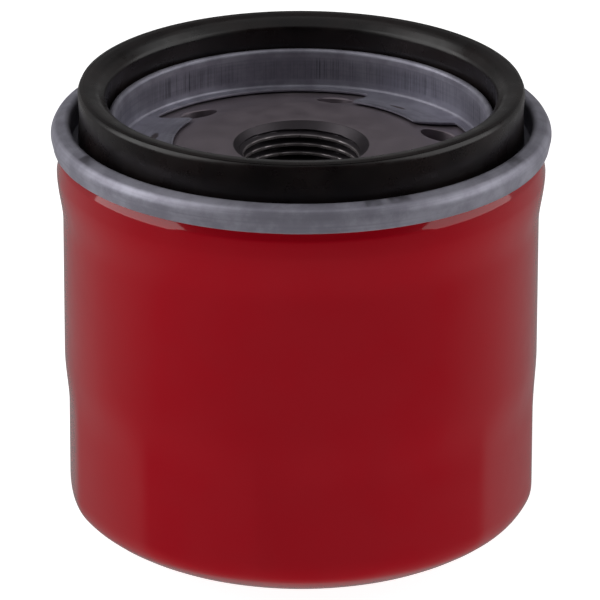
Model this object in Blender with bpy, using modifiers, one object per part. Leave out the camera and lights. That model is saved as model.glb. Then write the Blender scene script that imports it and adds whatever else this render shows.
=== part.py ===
"""Spin-on oil filter, standing on its closed end with the gasket and the thread up.

Origin: middle of the flat face it stands on. +Z runs up the thread's axis.
Driving dimensions are in millimetres; every mesh is made in metres.
"""
import math

import bmesh
import bpy

MM = 0.001
GAP = 0.3                       # clearance between touching pieces

# can: deep-drawn steel shell with shallow wrench flutes
CAN_GAUGE = 0.35
CAN_RADIUS = 38.15
CAN_FLAT_RADIUS = 20.56         # flat end it stands on
CAN_DOME_RADIUS = 24.9          # arc from the flat end out to the corner
CAN_DOME_ANGLE = 38.7
CAN_BULGE_RADIUS = 39.1
CAN_BULGE_START = 54.0
CAN_BULGE_TOP = 62.3
CAN_SHOULDER = (38.7, 64.7)     # (r, z) between the bulge and the neck
CAN_NECK_RADIUS = 37.9          # outside of the wall within the seam
CAN_NECK_BOTTOM = 66.3
CAN_HOOK_END = 66.95            # where the can's fold within the seam ends
FLUTES = 12
FLUTE_PHASE = -100.5            # a ridge between two flutes, in degrees from +X
FLUTE_DEPTH = 0.5
FLUTE_NECKING = 0.2             # the ridges lie this far inside the wall
FLUTE_FOOT = (4.0, 9.7)         # the flutes fade in between these heights
FLUTE_HEAD = (24.5, 29.7)       # and fade out between these

# double seam and lid
LID_GAUGE = 0.4
SEAM_RADIUS = 40.0
SEAM_BOTTOM = 66.2
SEAM_TOP = 70.9
SEALANT_INNER_RADIUS = 37.9
SEALANT_OUTER_RADIUS = 38.8
SEALANT_THICKNESS = 0.3
LID_HOOK_RADIUS = 38.175        # inside of the lid's fold under the can's
LID_HOOK_LENGTH = 2.0           # the fold ends this far below the seam's top
CHUCK_WALL_RADIUS = 37.25       # outside of the lid's wall within the can
GROOVE_FLOOR = 66.1             # underside of the gasket groove
GROOVE_INNER_RADIUS = 30.8      # outside of the rim's outer layer
RIM_TOP = 71.5
SKIRT_RADIUS = 29.6             # inside of the rim's inner layer
FLANGE_UNDERSIDE = 64.8
FLANGE_INNER_RADIUS = 28.0
LOBE_INNER_RADIUS = 21.0
LOBE_RISE = 1.4                 # the lobes climb the plate's dish
LOBE_ANGLE = 49.2               # middle of the first lobe, in degrees from +X
LOBE_HALF_WIDTH = 15.0
LOBES = 3

# gasket
GASKET_INNER_RADIUS = 31.1
GASKET_OUTER_RADIUS = 35.7
GASKET_BOTTOM = 66.8
GASKET_TOP = 76.4
GASKET_ROUND = 1.0
GASKET_FOOT_ROUND = 0.4

# base plate, thread M20 x 1.5
PLATE_RADIUS = 36.9
PLATE_TOP = 64.5
PLATE_THICKNESS = 3.6
DISH_FLAT_RADIUS = 19.5         # the middle of the plate is raised
DISH_FLAT_TOP = 66.3
DISH_FOOT_RADIUS = 26.5
PLATE_CHAMFER = 0.4
PLATE_FILLET = 0.8              # between the plate and the neck
NECK_RADIUS = 12.75
NECK_BOTTOM = 51.4
NECK_CHAMFER = 0.5
THREAD_PITCH = 1.5
THREAD_MINOR_RADIUS = 9.2
THREAD_MAJOR_RADIUS = 10.0
THREAD_CHAMFER_RADIUS = 10.85
THREAD_ROOT_FLAT = 0.16
INLET_COUNT = 6
INLET_CIRCLE_RADIUS = 23.0
INLET_RADIUS = 2.95
INLET_PHASE = 16.2

# anti-drain valve
DRAIN_COLLAR_RADIUS = 15.4
DRAIN_COLLAR_HEIGHT = 6.5
DRAIN_SKIRT_RADIUS = 29.9
DRAIN_KNEE = (22.0, 1.3)        # radius of the skirt's bend, and its depth under the plate
DRAIN_SKIRT = 1.1               # thickness at the bend
DRAIN_LIP = 0.6

# filter element
CAP_GAUGE = 0.4
CAP_RADIUS = 33.6
CAP_RIM_DEPTH = 3.4
LOWER_CAP_UNDERSIDE = 12.6
UPPER_CAP_TOP = 50.5
UPPER_CAP_BORE = 11.8
LOWER_CAP_BORE = 9.0
TUBE_RADIUS = 13.3
TUBE_GAUGE = 0.4
TUBE_HOLE_RADIUS = 2.5
TUBE_HOLES_ROUND = 6
TUBE_HOLE_ROWS = 5
ADHESIVE_THICKNESS = 0.6
ADHESIVE_INNER_RADIUS = 13.7
ADHESIVE_OUTER_RADIUS = 32.9
PLEATS = 36
PLEAT_TIP_RADIUS = 32.4
PLEAT_ROOT_RADIUS = 14.6
PAPER = 0.7
PLEAT_TIP_FOLD = 0.95           # half width of a fold on its middle line
PLEAT_ROOT_FOLD = 0.65
CLIP_GAUGE = 0.3
CLIP_DEPTH = 3.0
CLIP_MARGIN = 2.0               # from each end of the paper

# bypass valve, in the lower cap
SEAT_BORE = 5.5
SEAT_SPIGOT_RADIUS = 8.7
SEAT_FLANGE_RADIUS = 12.3
SEAT_FLANGE = 0.7
SEAT_LIP = 0.4
SEAT_WALL = 0.8
SEAT_SPIGOT_DEPTH = 0.2         # the spigot passes the cap's underside by this
CAGE_GAUGE = 0.5
CAGE_RADIUS = 9.4
CAGE_TOP = 27.0
CAGE_STEM_HOLE = 2.2
CAGE_WINDOWS = 4
CAGE_WINDOW_RADIUS = 4.0
SEAL_RADIUS = 7.6
SEAL_BORE = 2.0
SEAL_THICKNESS = 1.2
POPPET_RADIUS = 7.9
POPPET_DISC = 1.2
POPPET_STEM_RADIUS = 1.8
POPPET_STEM_TOP = 29.5
POPPET_CHAMFER = 0.4
POPPET_FILLET = 0.5
POPPET_NOSE_DEPTH = 1.2         # the nose passes the seal's underside by this

# springs
BYPASS_WIRE = 0.8
BYPASS_COIL_RADIUS = 4.2
BYPASS_TURNS = 5
SUPPORT_WIRE = 1.8
SUPPORT_COIL_RADIUS = 19.0
SUPPORT_TURNS = 3

OUTER_STEPS = 36                # sides of a round piece
INNER_STEPS = 24
THREAD_STEPS = 30

for old in list(bpy.data.objects):
    bpy.data.objects.remove(old)

filter_collection = bpy.data.collections.new("oil_filter")
cutter_collection = bpy.data.collections.new("cutters")
for collection in (filter_collection, cutter_collection):
    bpy.context.scene.collection.children.link(collection)


# ---------------------------------------------------------------- helpers

def finish(name, colour, metallic, roughness):
    """A Principled material."""
    material = bpy.data.materials.new(name)
    material.use_nodes = True
    shader = material.node_tree.nodes["Principled BSDF"]
    shader.inputs["Base Color"].default_value = (*colour, 1.0)
    shader.inputs["Metallic"].default_value = metallic
    shader.inputs["Roughness"].default_value = roughness
    return material


def arc(centre, radius, start, end, steps):
    """Points of an arc in the (r, z) plane, angles in degrees from +r."""
    points = []
    for i in range(steps + 1):
        angle = math.radians(start + (end - start) * i / steps)
        points.append((centre[0] + radius * math.cos(angle), centre[1] + radius * math.sin(angle)))
    return points


def rounded(corners, steps=3):
    """A path through (r, z, bend radius) corners, with each bend an arc."""
    path = [corners[0][:2]]
    for before, corner, after in zip(corners, corners[1:], corners[2:]):
        path += bend(before[:2], corner[:2], after[:2], corner[2], steps)
    path.append(corners[-1][:2])
    return path


def bend(before, corner, after, radius, steps):
    """The arc of one bend, or the sharp corner itself where radius is 0."""
    if radius == 0:
        return [corner]
    into = unit(corner, before)
    out = unit(corner, after)
    half = math.acos(max(-1.0, min(1.0, into[0] * out[0] + into[1] * out[1]))) / 2
    middle = unit((0, 0), (into[0] + out[0], into[1] + out[1]))
    reach = radius / math.sin(half)
    centre = (corner[0] + middle[0] * reach, corner[1] + middle[1] * reach)
    run = radius / math.tan(half)
    first = (corner[0] + into[0] * run, corner[1] + into[1] * run)
    last = (corner[0] + out[0] * run, corner[1] + out[1] * run)
    start = math.degrees(math.atan2(first[1] - centre[1], first[0] - centre[0]))
    end = math.degrees(math.atan2(last[1] - centre[1], last[0] - centre[0]))
    turn = (end - start + 180) % 360 - 180
    return arc(centre, radius, start, start + turn, steps)


def unit(a, b):
    """Unit vector from a to b."""
    length = math.hypot(b[0] - a[0], b[1] - a[1])
    return ((b[0] - a[0]) / length, (b[1] - a[1]) / length)


def sheet_section(path, gauge):
    """Closed section of a formed sheet whose middle line is the path."""
    sides = ([], [])
    for i, point in enumerate(path):
        before = unit(path[i - 1], point) if i > 0 else unit(point, path[1])
        after = unit(point, path[i + 1]) if i < len(path) - 1 else before
        normal = unit((0, 0), (-before[1] - after[1], before[0] + after[0]))
        stretch = gauge / 2 / (normal[0] * -before[1] + normal[1] * before[0])
        for side, sign in zip(sides, (1, -1)):
            side.append((point[0] + sign * normal[0] * stretch, point[1] + sign * normal[1] * stretch))
    return sides[0] + sides[1][::-1]


def add(name, data, material, place=(0, 0, 0)):
    """An object of the filter, its place in millimetres."""
    shape = bpy.data.objects.new(name, data)
    shape.location = [value * MM for value in place]
    data.materials.clear()
    data.materials.append(material)
    filter_collection.objects.link(shape)
    return shape


def turned(name, outline, material, steps, lift=0.0, pitch=0.0, turns=1, closed=True):
    """A turned piece: the (r, z) outline swept round Z by a Screw modifier."""
    area = sum(a[0] * b[1] - b[0] * a[1] for a, b in zip(outline, outline[1:] + outline[:1]))
    points = outline if area < 0 or not closed else outline[::-1]
    mesh = bpy.data.meshes.new(name)
    count = len(points)
    edges = [(i, (i + 1) % count) for i in range(count if closed else count - 1)]
    mesh.from_pydata([(r * MM, 0, (z - lift) * MM) for r, z in points], edges, [])
    shape = add(name, mesh, material, (0, 0, lift))
    screw = shape.modifiers.new("Turn", "SCREW")
    screw.axis = "Z"
    screw.steps = steps
    screw.render_steps = steps
    screw.screw_offset = pitch * MM
    screw.iterations = turns
    screw.use_merge_vertices = pitch == 0
    screw.merge_threshold = 0.00001
    screw.use_smooth_shade = True
    return shape


def made_mesh(shape, weld=0.00001):
    """The object with its modifiers or its curve turned into a plain mesh of its own."""
    bpy.context.view_layer.update()
    evaluated = shape.evaluated_get(bpy.context.evaluated_depsgraph_get())
    mesh = bpy.data.meshes.new_from_object(evaluated)
    work = bmesh.new()
    work.from_mesh(mesh)
    bmesh.ops.remove_doubles(work, verts=work.verts, dist=weld)
    work.to_mesh(mesh)
    work.free()
    name = shape.name
    holder = shape.users_collection[0]
    solid = bpy.data.objects.new(name, mesh)
    solid.matrix_world = shape.matrix_world
    bpy.data.objects.remove(shape)
    solid.name = name
    holder.objects.link(solid)
    return solid


def cut(shape, cutter):
    """Boolean difference; the cutter is kept out of sight."""
    for collection in cutter.users_collection:
        collection.objects.unlink(cutter)
    cutter_collection.objects.link(cutter)
    cutter.hide_render = True
    cutter.display_type = "WIRE"
    boolean = shape.modifiers.new("Cut " + cutter.name, "BOOLEAN")
    boolean.operation = "DIFFERENCE"
    boolean.solver = "EXACT"
    boolean.object = cutter


def peg(name, radius, length, place, rotation=(0, 0, 0), sides=12):
    """A cylinder for cutting."""
    mesh = bpy.data.meshes.new(name)
    work = bmesh.new()
    bmesh.ops.create_cone(work, cap_ends=True, segments=sides, radius1=radius * MM,
                          radius2=radius * MM, depth=length * MM)
    work.to_mesh(mesh)
    work.free()
    shape = bpy.data.objects.new(name, mesh)
    shape.location = [value * MM for value in place]
    shape.rotation_euler = rotation
    cutter_collection.objects.link(shape)
    return shape


def coil(name, material, wire, radius, turns, bottom, top, points_per_turn):
    """A coil spring with closed ends, its origin at its bottom."""
    curve = bpy.data.curves.new(name, "CURVE")
    curve.dimensions = "3D"
    curve.bevel_depth = wire / 2 * MM
    curve.bevel_resolution = 2
    curve.use_fill_caps = True
    spline = curve.splines.new("POLY")
    count = turns * points_per_turn
    spline.points.add(count)
    low = bottom + wire / 2
    rise = top - bottom - wire
    for i, point in enumerate(spline.points):
        share = i / count
        ease = share * share * (3 - 2 * share)
        angle = 2 * math.pi * i / points_per_turn
        height = low + rise * ease - bottom
        point.co = (radius * math.cos(angle) * MM, radius * math.sin(angle) * MM, height * MM, 1)
    spring = add(name, curve, material, (0, 0, bottom))
    return made_mesh(spring)


def smooth_step(low, high, value):
    share = max(0.0, min(1.0, (value - low) / (high - low)))
    return share * share * (3 - 2 * share)


# ---------------------------------------------------------------- materials

RED_PAINT = finish("red_paint", (0.19, 0.004, 0.012), 0.0, 0.22)
ZINC = finish("zinc_plate", (0.32, 0.31, 0.35), 0.9, 0.38)
PHOSPHATE = finish("phosphated_steel", (0.13, 0.11, 0.13), 0.7, 0.42)
RUBBER = finish("black_rubber", (0.012, 0.011, 0.013), 0.0, 0.5)
BROWN_RUBBER = finish("nitrile_rubber", (0.02, 0.018, 0.016), 0.0, 0.6)
STEEL = finish("pressed_steel", (0.42, 0.41, 0.4), 0.9, 0.4)
SPRING_STEEL = finish("spring_steel", (0.3, 0.29, 0.28), 0.9, 0.3)
PAPER_YELLOW = finish("filter_paper", (0.62, 0.45, 0.2), 0.0, 0.9)
PLASTISOL = finish("plastisol", (0.55, 0.1, 0.06), 0.0, 0.5)
SEALANT = finish("lining_compound", (0.5, 0.45, 0.35), 0.0, 0.6)
NYLON = finish("nylon", (0.6, 0.58, 0.5), 0.0, 0.4)


# ---------------------------------------------------------------- shell and lid

def can_path():
    """Outside of the can from the middle of its end up to the neck within the seam."""
    dome_centre = (CAN_FLAT_RADIUS, CAN_DOME_RADIUS)
    dome = arc(dome_centre, CAN_DOME_RADIUS, -90, CAN_DOME_ANGLE - 90, 3)
    edge = dome[-1]
    corner_radius = (CAN_RADIUS - edge[0]) / (1 - math.sin(math.radians(CAN_DOME_ANGLE)))
    corner_centre = (CAN_RADIUS - corner_radius,
                     edge[1] + corner_radius * math.cos(math.radians(CAN_DOME_ANGLE)))
    corner = arc(corner_centre, corner_radius, CAN_DOME_ANGLE - 90, 0, 3)
    wall = [(CAN_RADIUS, z) for z in (FLUTE_HEAD[0], sum(FLUTE_HEAD) / 2, FLUTE_HEAD[1])]
    bulge = []
    for i in range(4):
        z = CAN_BULGE_START + (CAN_BULGE_TOP - CAN_BULGE_START) * i / 3
        swell = smooth_step(CAN_BULGE_START, CAN_BULGE_TOP, z)
        bulge.append((CAN_RADIUS + (CAN_BULGE_RADIUS - CAN_RADIUS) * swell, z))
    neck = (CAN_NECK_RADIUS, CAN_NECK_BOTTOM)
    return [(0, 0)] + dome + corner[1:] + wall + bulge + [CAN_SHOULDER, neck]


def can_hook():
    """Middle line of the can's fold within the double seam."""
    wall_radius = CAN_NECK_RADIUS - CAN_GAUGE / 2
    hook_radius = SEAM_RADIUS - LID_GAUGE - GAP - CAN_GAUGE / 2
    fold = (hook_radius - wall_radius) / 2
    fold_height = SEAM_TOP - LID_GAUGE - 2 * GAP - SEALANT_THICKNESS - CAN_GAUGE / 2 - fold
    top = arc((wall_radius + fold, fold_height), fold, 180, 0, 3)
    return top + [(hook_radius, CAN_HOOK_END)]


def press_flutes(shape):
    """Presses the flutes into both faces of the wall."""
    for vertex in shape.data.vertices:
        radius = math.hypot(vertex.co.x, vertex.co.y)
        z = vertex.co.z / MM
        if radius < CAN_FLAT_RADIUS * MM:
            continue
        turn = math.degrees(math.atan2(vertex.co.y, vertex.co.x)) - FLUTE_PHASE
        hollow = (1 - math.cos(math.radians(turn * FLUTES))) / 2
        fade = smooth_step(*FLUTE_FOOT, z) * (1 - smooth_step(*FLUTE_HEAD, z))
        share = 1 - fade * (FLUTE_NECKING + FLUTE_DEPTH * hollow) * MM / radius
        vertex.co.x *= share
        vertex.co.y *= share


def can():
    outside = can_path()
    middle = []
    for i, (r, z) in enumerate(outside[1:], 1):
        before = unit(outside[i - 1], (r, z))
        after = unit((r, z), outside[i + 1]) if i + 1 < len(outside) else (0, 1)
        normal = unit((0, 0), (-before[1] - after[1], before[0] + after[0]))
        middle.append((r + normal[0] * CAN_GAUGE / 2, z + normal[1] * CAN_GAUGE / 2))
    middle = [(0, CAN_GAUGE / 2)] + middle + can_hook()
    section = sheet_section(middle, CAN_GAUGE)
    shape = made_mesh(turned("can", section, RED_PAINT, OUTER_STEPS))
    press_flutes(shape)
    shape.data.shade_smooth()
    return shape


def lid_path():
    """Middle line of the lid, from the flange's inner edge out to the hook within the seam."""
    half = LID_GAUGE / 2
    flange = FLANGE_UNDERSIDE + half
    skirt = SKIRT_RADIUS + half
    groove = GROOVE_INNER_RADIUS - half
    floor = GROOVE_FLOOR + half
    chuck = CHUCK_WALL_RADIUS - half
    outside = SEAM_RADIUS - half
    hook = LID_HOOK_RADIUS + half
    rim_fold = (groove - skirt) / 2
    rim = arc((skirt + rim_fold, RIM_TOP - half - rim_fold), rim_fold, 180, 0, 3)
    under_fold = (outside - hook) / 2
    under = arc((hook + under_fold, SEAM_BOTTOM + half + under_fold), under_fold, 0, -180, 3)
    inner = rounded([(FLANGE_INNER_RADIUS, flange, 0), (skirt, flange, 0.8), rim[0] + (0,)], 2)
    outer = rounded([rim[-1] + (0,), (groove, floor, 0), (chuck, floor, 0),
                     (chuck, SEAM_TOP - half, 0.7), (outside, SEAM_TOP - half, 1.3), under[0] + (0,)], 2)
    hook_end = (hook, SEAM_TOP - LID_HOOK_LENGTH)
    return inner[:-1] + rim + outer[1:-1] + under + [hook_end]


def seaming_lid():
    shape = made_mesh(turned("seaming_lid", sheet_section(lid_path(), LID_GAUGE), ZINC, OUTER_STEPS))
    for vertex in shape.data.vertices:
        radius = math.hypot(vertex.co.x, vertex.co.y)
        if radius > (FLANGE_INNER_RADIUS + GAP) * MM:
            continue
        turn = math.degrees(math.atan2(vertex.co.y, vertex.co.x))
        spacing = 360 / LOBES
        from_lobe = (turn - LOBE_ANGLE + spacing / 2) % spacing - spacing / 2
        if abs(from_lobe) < LOBE_HALF_WIDTH:
            share = LOBE_INNER_RADIUS / FLANGE_INNER_RADIUS
            vertex.co.x *= share
            vertex.co.y *= share
            vertex.co.z += LOBE_RISE * MM
    shape.data.shade_smooth()
    return shape


def seam_sealant():
    top = SEAM_TOP - LID_GAUGE - GAP
    bottom = top - SEALANT_THICKNESS
    outline = [(SEALANT_INNER_RADIUS, top), (SEALANT_OUTER_RADIUS, top),
               (SEALANT_OUTER_RADIUS, bottom), (SEALANT_INNER_RADIUS, bottom)]
    return turned("seam_sealant", outline, SEALANT, OUTER_STEPS)


def gasket():
    middle = ((GASKET_INNER_RADIUS + GASKET_OUTER_RADIUS) / 2, GASKET_TOP, 0)
    outline = rounded([
        middle,
        (GASKET_OUTER_RADIUS, GASKET_TOP, GASKET_ROUND),
        (GASKET_OUTER_RADIUS, GASKET_BOTTOM, GASKET_FOOT_ROUND),
        (GASKET_INNER_RADIUS, GASKET_BOTTOM, GASKET_FOOT_ROUND),
        (GASKET_INNER_RADIUS, GASKET_TOP, GASKET_ROUND),
        middle], 2)
    return turned("gasket", outline[:-1], RUBBER, OUTER_STEPS)


# ---------------------------------------------------------------- base plate

def thread_cutter():
    """Helical V groove, open past both ends of the neck."""
    inside = THREAD_MINOR_RADIUS - 0.3
    start = NECK_BOTTOM - THREAD_PITCH
    turns = math.ceil((DISH_FLAT_TOP - NECK_BOTTOM) / THREAD_PITCH) + 2
    root = THREAD_ROOT_FLAT / 2
    mouth = root + (THREAD_MAJOR_RADIUS - inside) * math.tan(math.radians(30))
    outline = [(inside, start + mouth), (THREAD_MAJOR_RADIUS, start + root),
               (THREAD_MAJOR_RADIUS, start - root), (inside, start - mouth)]
    groove = turned("thread_groove", outline, PHOSPHATE, THREAD_STEPS, start, THREAD_PITCH, turns)
    groove = made_mesh(groove)
    work = bmesh.new()
    work.from_mesh(groove.data)
    bmesh.ops.holes_fill(work, edges=[edge for edge in work.edges if edge.is_boundary])
    bmesh.ops.recalc_face_normals(work, faces=work.faces)
    work.to_mesh(groove.data)
    work.free()
    return groove


def base_plate():
    bottom = PLATE_TOP - PLATE_THICKNESS
    dish_bottom = DISH_FLAT_TOP - PLATE_THICKNESS
    chamfer = THREAD_CHAMFER_RADIUS - THREAD_MINOR_RADIUS
    lower_chamfer = THREAD_MAJOR_RADIUS - THREAD_MINOR_RADIUS
    outline = [
        (THREAD_CHAMFER_RADIUS, DISH_FLAT_TOP),
        (DISH_FLAT_RADIUS, DISH_FLAT_TOP),
        (DISH_FOOT_RADIUS, PLATE_TOP),
        (PLATE_RADIUS - PLATE_CHAMFER, PLATE_TOP),
        (PLATE_RADIUS, PLATE_TOP - PLATE_CHAMFER),
        (PLATE_RADIUS, bottom),
        (DISH_FOOT_RADIUS, bottom),
        (DISH_FLAT_RADIUS, dish_bottom),
        (NECK_RADIUS + PLATE_FILLET, dish_bottom),
        (NECK_RADIUS, dish_bottom - PLATE_FILLET),
        (NECK_RADIUS, NECK_BOTTOM + NECK_CHAMFER),
        (NECK_RADIUS - NECK_CHAMFER, NECK_BOTTOM),
        (THREAD_MINOR_RADIUS + lower_chamfer, NECK_BOTTOM),
        (THREAD_MINOR_RADIUS, NECK_BOTTOM + lower_chamfer),
        (THREAD_MINOR_RADIUS, DISH_FLAT_TOP - chamfer)]
    plate = turned("base_plate", outline, PHOSPHATE, THREAD_STEPS)
    for i in range(INLET_COUNT):
        angle = math.radians(INLET_PHASE + 360 * i / INLET_COUNT)
        place = (INLET_CIRCLE_RADIUS * math.cos(angle), INLET_CIRCLE_RADIUS * math.sin(angle),
                 (bottom + DISH_FLAT_TOP) / 2)
        cut(plate, peg(f"inlet_{i + 1}", INLET_RADIUS, DISH_FLAT_TOP - bottom + 2, place))
    cut(plate, thread_cutter())
    return plate


def anti_drain_valve():
    """Rubber diaphragm: a collar round the neck and a skirt up to the plate."""
    plate = PLATE_TOP - PLATE_THICKNESS - GAP
    bore = NECK_RADIUS + GAP
    foot = UPPER_CAP_TOP + GAP
    collar_top = foot + DRAIN_COLLAR_HEIGHT
    knee_radius, knee_depth = DRAIN_KNEE
    lip = DRAIN_SKIRT_RADIUS - DRAIN_LIP / 2
    outline = [
        (bore, collar_top),
        (DRAIN_COLLAR_RADIUS, collar_top),
        (knee_radius, plate - knee_depth),
        (lip - 2 * DRAIN_LIP, plate - GAP / 3),
        (lip, plate),
        (DRAIN_SKIRT_RADIUS, plate - DRAIN_LIP),
        (lip - 2 * DRAIN_LIP, plate - GAP / 3 - DRAIN_LIP),
        (knee_radius, plate - knee_depth - DRAIN_SKIRT),
        (DRAIN_COLLAR_RADIUS, collar_top - DRAIN_SKIRT),
        (DRAIN_COLLAR_RADIUS, foot),
        (bore, foot)]
    return turned("anti_drain_valve", outline, BROWN_RUBBER, INNER_STEPS)


# ---------------------------------------------------------------- element

def end_cap(name, flat, rim_end, bore):
    """Stamped cap with its rim turned towards the paper."""
    half = CAP_GAUGE / 2
    path = rounded([(bore, flat, 0), (CAP_RADIUS - half, flat, 0.7), (CAP_RADIUS - half, rim_end, 0)], 2)
    return turned(name, sheet_section(path, CAP_GAUGE), STEEL, INNER_STEPS)


def adhesive(name, bottom):
    top = bottom + ADHESIVE_THICKNESS
    outline = [(ADHESIVE_INNER_RADIUS, top), (ADHESIVE_OUTER_RADIUS, top),
               (ADHESIVE_OUTER_RADIUS, bottom), (ADHESIVE_INNER_RADIUS, bottom)]
    return turned(name, outline, PLASTISOL, INNER_STEPS)


def pleat_outline(tip_radius, root_radius, tip_half_width, root_half_width):
    """Closed wave round Z; a half width is half of one fold, in millimetres."""
    points = []
    for i in range(PLEATS):
        middle = 2 * math.pi * i / PLEATS
        for radius, half in ((root_radius, -root_half_width), (tip_radius, -tip_half_width),
                             (tip_radius, tip_half_width), (root_radius, root_half_width)):
            angle = middle + half / radius
            points.append((radius * math.cos(angle), radius * math.sin(angle)))
    return points


def pleated_media(bottom, top):
    """Pleated paper: a flat wave outline with a wave hole, thickened along Z."""
    half = PAPER / 2
    curve = bpy.data.curves.new("pleated_media", "CURVE")
    curve.dimensions = "2D"
    curve.fill_mode = "BOTH"
    curve.extrude = (top - bottom) / 2 * MM
    waves = (pleat_outline(PLEAT_TIP_RADIUS, PLEAT_ROOT_RADIUS + PAPER,
                           PLEAT_TIP_FOLD + half, PLEAT_ROOT_FOLD + half),
             pleat_outline(PLEAT_TIP_RADIUS - PAPER, PLEAT_ROOT_RADIUS,
                           PLEAT_TIP_FOLD - half, PLEAT_ROOT_FOLD - half))
    for wave in waves:
        spline = curve.splines.new("POLY")
        spline.points.add(len(wave) - 1)
        spline.use_cyclic_u = True
        for point, (x, y) in zip(spline.points, wave):
            point.co = (x * MM, y * MM, 0, 1)
    paper = add("pleated_media", curve, PAPER_YELLOW, (0, 0, (top + bottom) / 2))
    return made_mesh(paper, 0.000001)


def media_seam_clip(bottom, top):
    """Folded strip over the pleat at +X, where the ends of the paper meet."""
    inner_half = PLEAT_TIP_FOLD + PAPER / 2 + GAP
    outer_half = inner_half + CLIP_GAUGE
    back = PLEAT_TIP_RADIUS + GAP
    front = PLEAT_TIP_RADIUS - CLIP_DEPTH
    curve = bpy.data.curves.new("media_seam_clip", "CURVE")
    curve.dimensions = "2D"
    curve.fill_mode = "BOTH"
    curve.extrude = (top - bottom) / 2 * MM
    spline = curve.splines.new("POLY")
    outline = ((front, -outer_half), (back + CLIP_GAUGE, -outer_half), (back + CLIP_GAUGE, outer_half),
               (front, outer_half), (front, inner_half), (back, inner_half), (back, -inner_half),
               (front, -inner_half))
    spline.points.add(len(outline) - 1)
    spline.use_cyclic_u = True
    for point, (x, y) in zip(spline.points, outline):
        point.co = (x * MM, y * MM, 0, 1)
    clip = add("media_seam_clip", curve, STEEL, (0, 0, (top + bottom) / 2))
    return made_mesh(clip)


def centre_tube(bottom, top):
    outline = [(TUBE_RADIUS - TUBE_GAUGE, top), (TUBE_RADIUS, top),
               (TUBE_RADIUS, bottom), (TUBE_RADIUS - TUBE_GAUGE, bottom)]
    tube = turned("centre_tube", outline, STEEL, INNER_STEPS)
    for row in range(TUBE_HOLE_ROWS):
        z = bottom + (top - bottom) * (row + 0.5) / TUBE_HOLE_ROWS
        stagger = math.pi / TUBE_HOLES_ROUND * (row % 2) + math.radians(4.2)
        for i in range(TUBE_HOLES_ROUND // 2):
            angle = stagger + 2 * math.pi * i / TUBE_HOLES_ROUND
            cut(tube, peg(f"tube_hole_{row + 1}_{i + 1}", TUBE_HOLE_RADIUS, 2 * TUBE_RADIUS + 4, (0, 0, z),
                          (math.pi / 2, 0, angle), 8))
    return tube


# ---------------------------------------------------------------- bypass valve

CAP_FLOOR = LOWER_CAP_UNDERSIDE + CAP_GAUGE
SEAT_BOTTOM = CAP_FLOOR + GAP
SEAT_TOP = SEAT_BOTTOM + SEAT_FLANGE
SEAL_BOTTOM = SEAT_TOP + SEAT_LIP + GAP
POPPET_BOTTOM = SEAL_BOTTOM + SEAL_THICKNESS + GAP


def bypass_valve_seat():
    spigot_inner = SEAT_SPIGOT_RADIUS - SEAT_WALL
    spigot_end = LOWER_CAP_UNDERSIDE - SEAT_SPIGOT_DEPTH
    outline = [
        (SEAT_BORE, SEAT_TOP + SEAT_LIP),
        (SEAT_BORE + SEAT_WALL, SEAT_TOP + SEAT_LIP),
        (SEAT_BORE + SEAT_WALL + SEAT_LIP, SEAT_TOP),
        (SEAT_FLANGE_RADIUS, SEAT_TOP),
        (SEAT_FLANGE_RADIUS, SEAT_BOTTOM),
        (SEAT_SPIGOT_RADIUS, SEAT_BOTTOM),
        (SEAT_SPIGOT_RADIUS, spigot_end),
        (spigot_inner, spigot_end),
        (spigot_inner, SEAT_BOTTOM),
        (SEAT_BORE, SEAT_BOTTOM)]
    return turned("bypass_valve_seat", outline, STEEL, INNER_STEPS)


def bypass_valve_cage():
    half = CAGE_GAUGE / 2
    foot = SEAT_TOP + GAP + half
    path = rounded([(SEAT_FLANGE_RADIUS - 0.2, foot, 0), (CAGE_RADIUS, foot, 0.6),
                    (CAGE_RADIUS, CAGE_TOP - half, 1.2), (CAGE_STEM_HOLE, CAGE_TOP - half, 0)], 2)
    cage = turned("bypass_valve_cage", sheet_section(path, CAGE_GAUGE), STEEL, INNER_STEPS)
    for i in range(CAGE_WINDOWS // 2):
        window = peg(f"cage_window_{i + 1}", CAGE_WINDOW_RADIUS, 2 * CAGE_RADIUS + 4,
                     (0, 0, (foot + CAGE_TOP) / 2), (math.pi / 2, 0, math.pi / 4 + i * math.pi / 2))
        cut(cage, window)
    return cage


def bypass_valve_seal():
    top = SEAL_BOTTOM + SEAL_THICKNESS
    outline = [(SEAL_BORE, top), (SEAL_RADIUS, top), (SEAL_RADIUS, SEAL_BOTTOM), (SEAL_BORE, SEAL_BOTTOM)]
    return turned("bypass_valve_seal", outline, BROWN_RUBBER, INNER_STEPS, SEAL_BOTTOM)


def bypass_valve_poppet():
    disc_top = POPPET_BOTTOM + POPPET_DISC
    nose = SEAL_BORE - GAP
    nose_end = SEAL_BOTTOM - POPPET_NOSE_DEPTH
    outline = [
        (0, POPPET_STEM_TOP),
        (POPPET_STEM_RADIUS - POPPET_CHAMFER, POPPET_STEM_TOP),
        (POPPET_STEM_RADIUS, POPPET_STEM_TOP - POPPET_CHAMFER),
        (POPPET_STEM_RADIUS, disc_top + POPPET_FILLET),
        (POPPET_STEM_RADIUS + POPPET_FILLET, disc_top),
        (POPPET_RADIUS - POPPET_CHAMFER, disc_top),
        (POPPET_RADIUS, disc_top - POPPET_CHAMFER),
        (POPPET_RADIUS, POPPET_BOTTOM),
        (nose, POPPET_BOTTOM),
        (nose, nose_end + POPPET_NOSE_DEPTH / 2),
        (nose - POPPET_FILLET, nose_end),
        (0, nose_end)]
    return turned("bypass_valve_poppet", outline, NYLON, INNER_STEPS, POPPET_BOTTOM, closed=False)


# ---------------------------------------------------------------- assembly

can()
seaming_lid()
seam_sealant()
gasket()
base_plate()
anti_drain_valve()

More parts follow.
